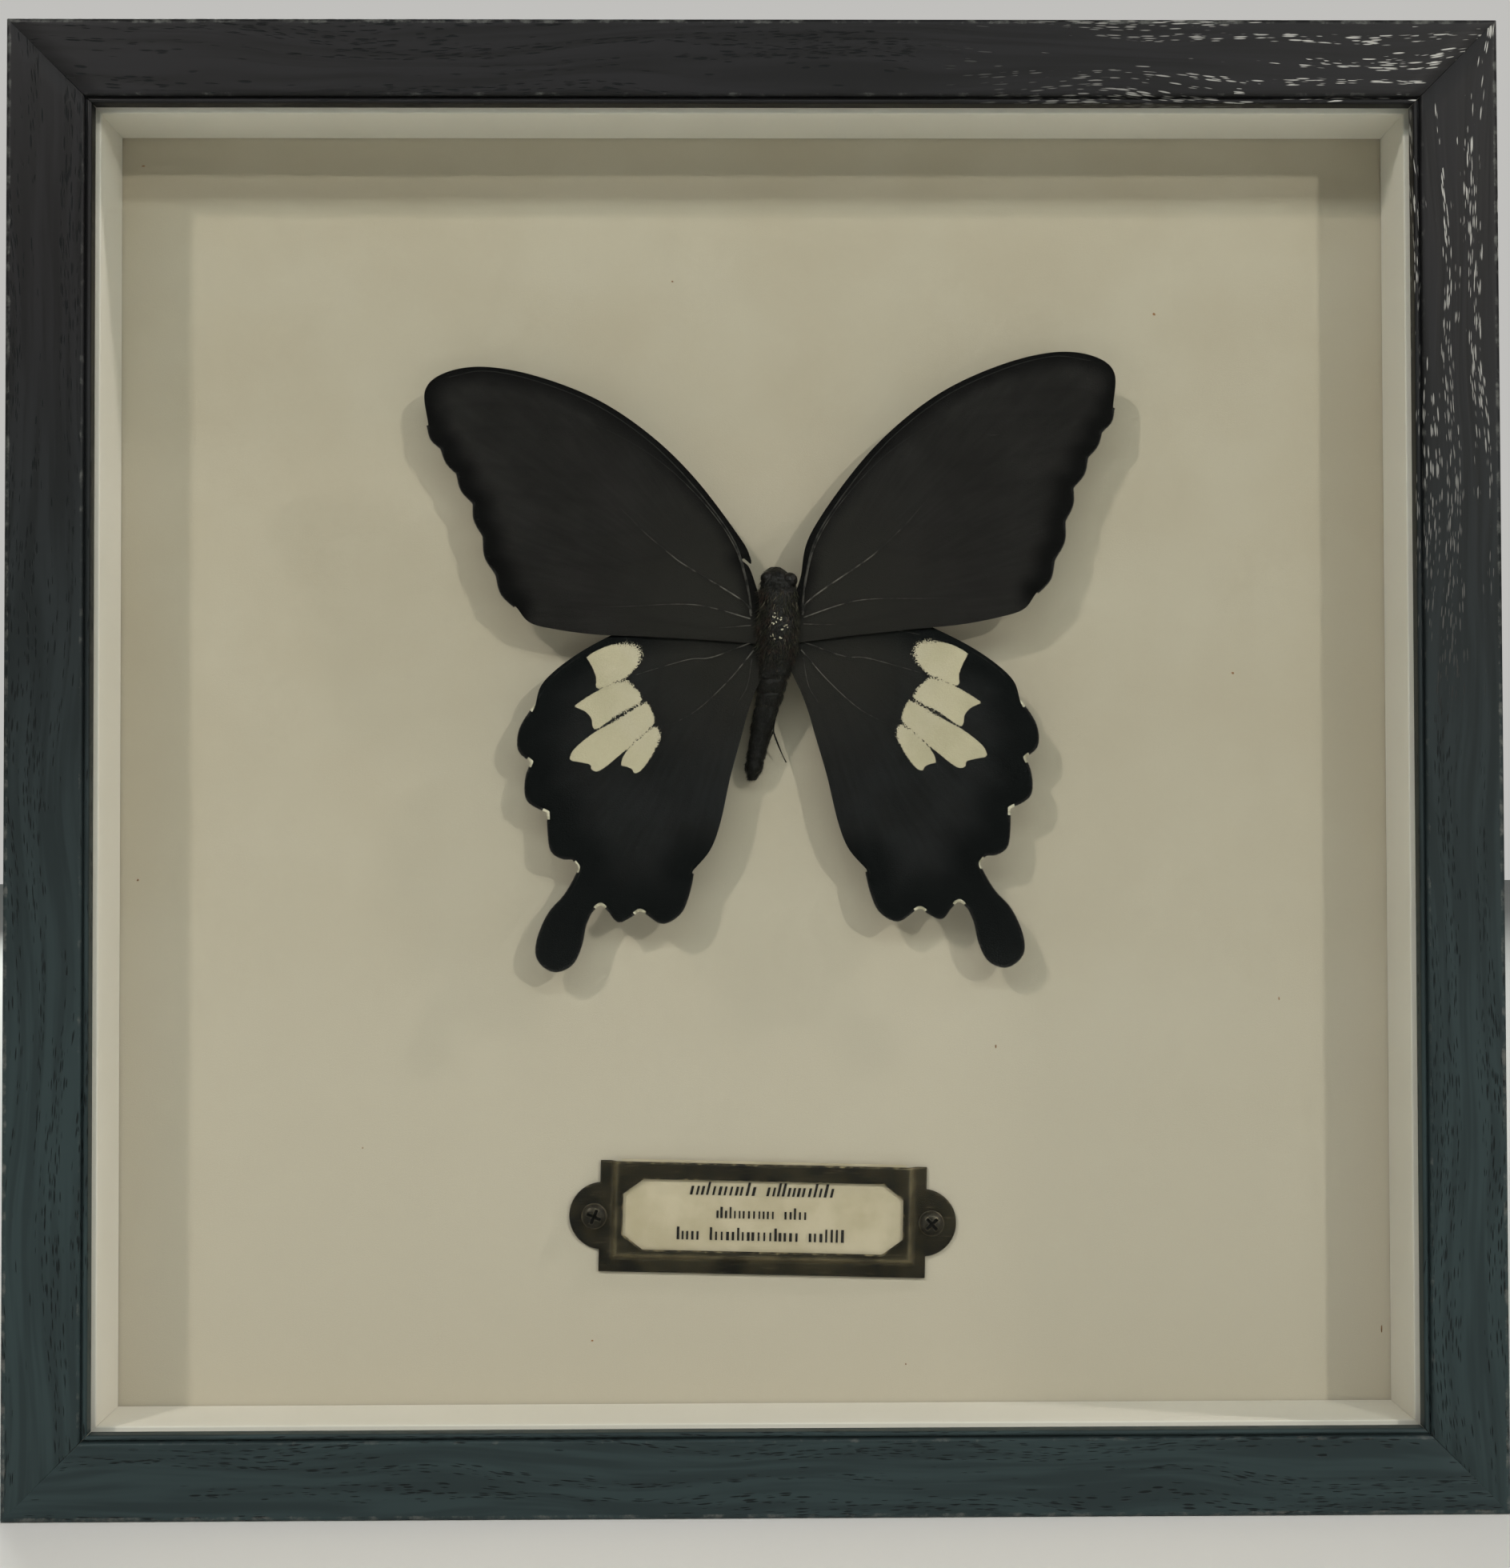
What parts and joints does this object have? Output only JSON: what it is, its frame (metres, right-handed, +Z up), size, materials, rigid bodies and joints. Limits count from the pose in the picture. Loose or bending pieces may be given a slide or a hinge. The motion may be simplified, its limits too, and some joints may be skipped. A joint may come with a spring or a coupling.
{
  "type": "framed butterfly specimen",
  "caption": "Square black wood shadow box with a spread dark swallowtail butterfly raised over a pale board, and a small metal label holder below it.",
  "frame": {"origin": "on the standing surface under the middle of the box, half way through its depth", "axes": "+X to the viewer's right, +Z up the box, and the glass faces -Y; the wall side faces +Y"},
  "size_m": [0.221, 0.0318, 0.221],
  "materials": {
    "black_wood": "black stained open-grain oak, satin lacquer",
    "clear_glass": "clear float glass",
    "white_liner": "matt off-white spacer board",
    "pale_board": "matt warm off-white mount board",
    "fibreboard": "plain brown hardboard",
    "steel": "zinc-plated sheet steel",
    "dark_rubber": "soft black pad",
    "wing_scales": "velvety black wing scales with cream patches on the hindwings",
    "body_hair": "dark hairy chitin",
    "cork": "pressed cork",
    "dark_bronze": "antique bronze plating, worn on its edges",
    "cream_card": "matt cream card"
  },
  "bodies": {
    "root": {"rail_top": "black_wood", "rail_bottom": "black_wood", "rail_left": "black_wood", "rail_right": "black_wood", "glass_pane": "clear_glass", "spacer_top": "white_liner", "spacer_bottom": "white_liner", "spacer_left": "white_liner", "spacer_right": "white_liner", "mounting_board": "pale_board", "back_panel": "fibreboard", "panel_tab_1": "steel", "panel_tab_2": "steel", "panel_tab_3": "steel", "panel_tab_4": "steel", "panel_tab_5": "steel", "panel_tab_6": "steel", "panel_tab_7": "steel", "panel_tab_8": "steel", "sawtooth_hanger": "steel", "hanger_nail_left": "steel", "hanger_nail_right": "steel", "wall_pad_left": "dark_rubber", "wall_pad_right": "dark_rubber", "forewing_left": "wing_scales", "forewing_right": "wing_scales", "hindwing_left": "wing_scales", "hindwing_right": "wing_scales", "butterfly_body": "body_hair", "butterfly_leg": "body_hair", "specimen_block": "cork", "label_holder": "dark_bronze", "label_card": "cream_card", "label_screw_left": "dark_bronze", "label_screw_right": "dark_bronze"}
  },
  "joints": []
}
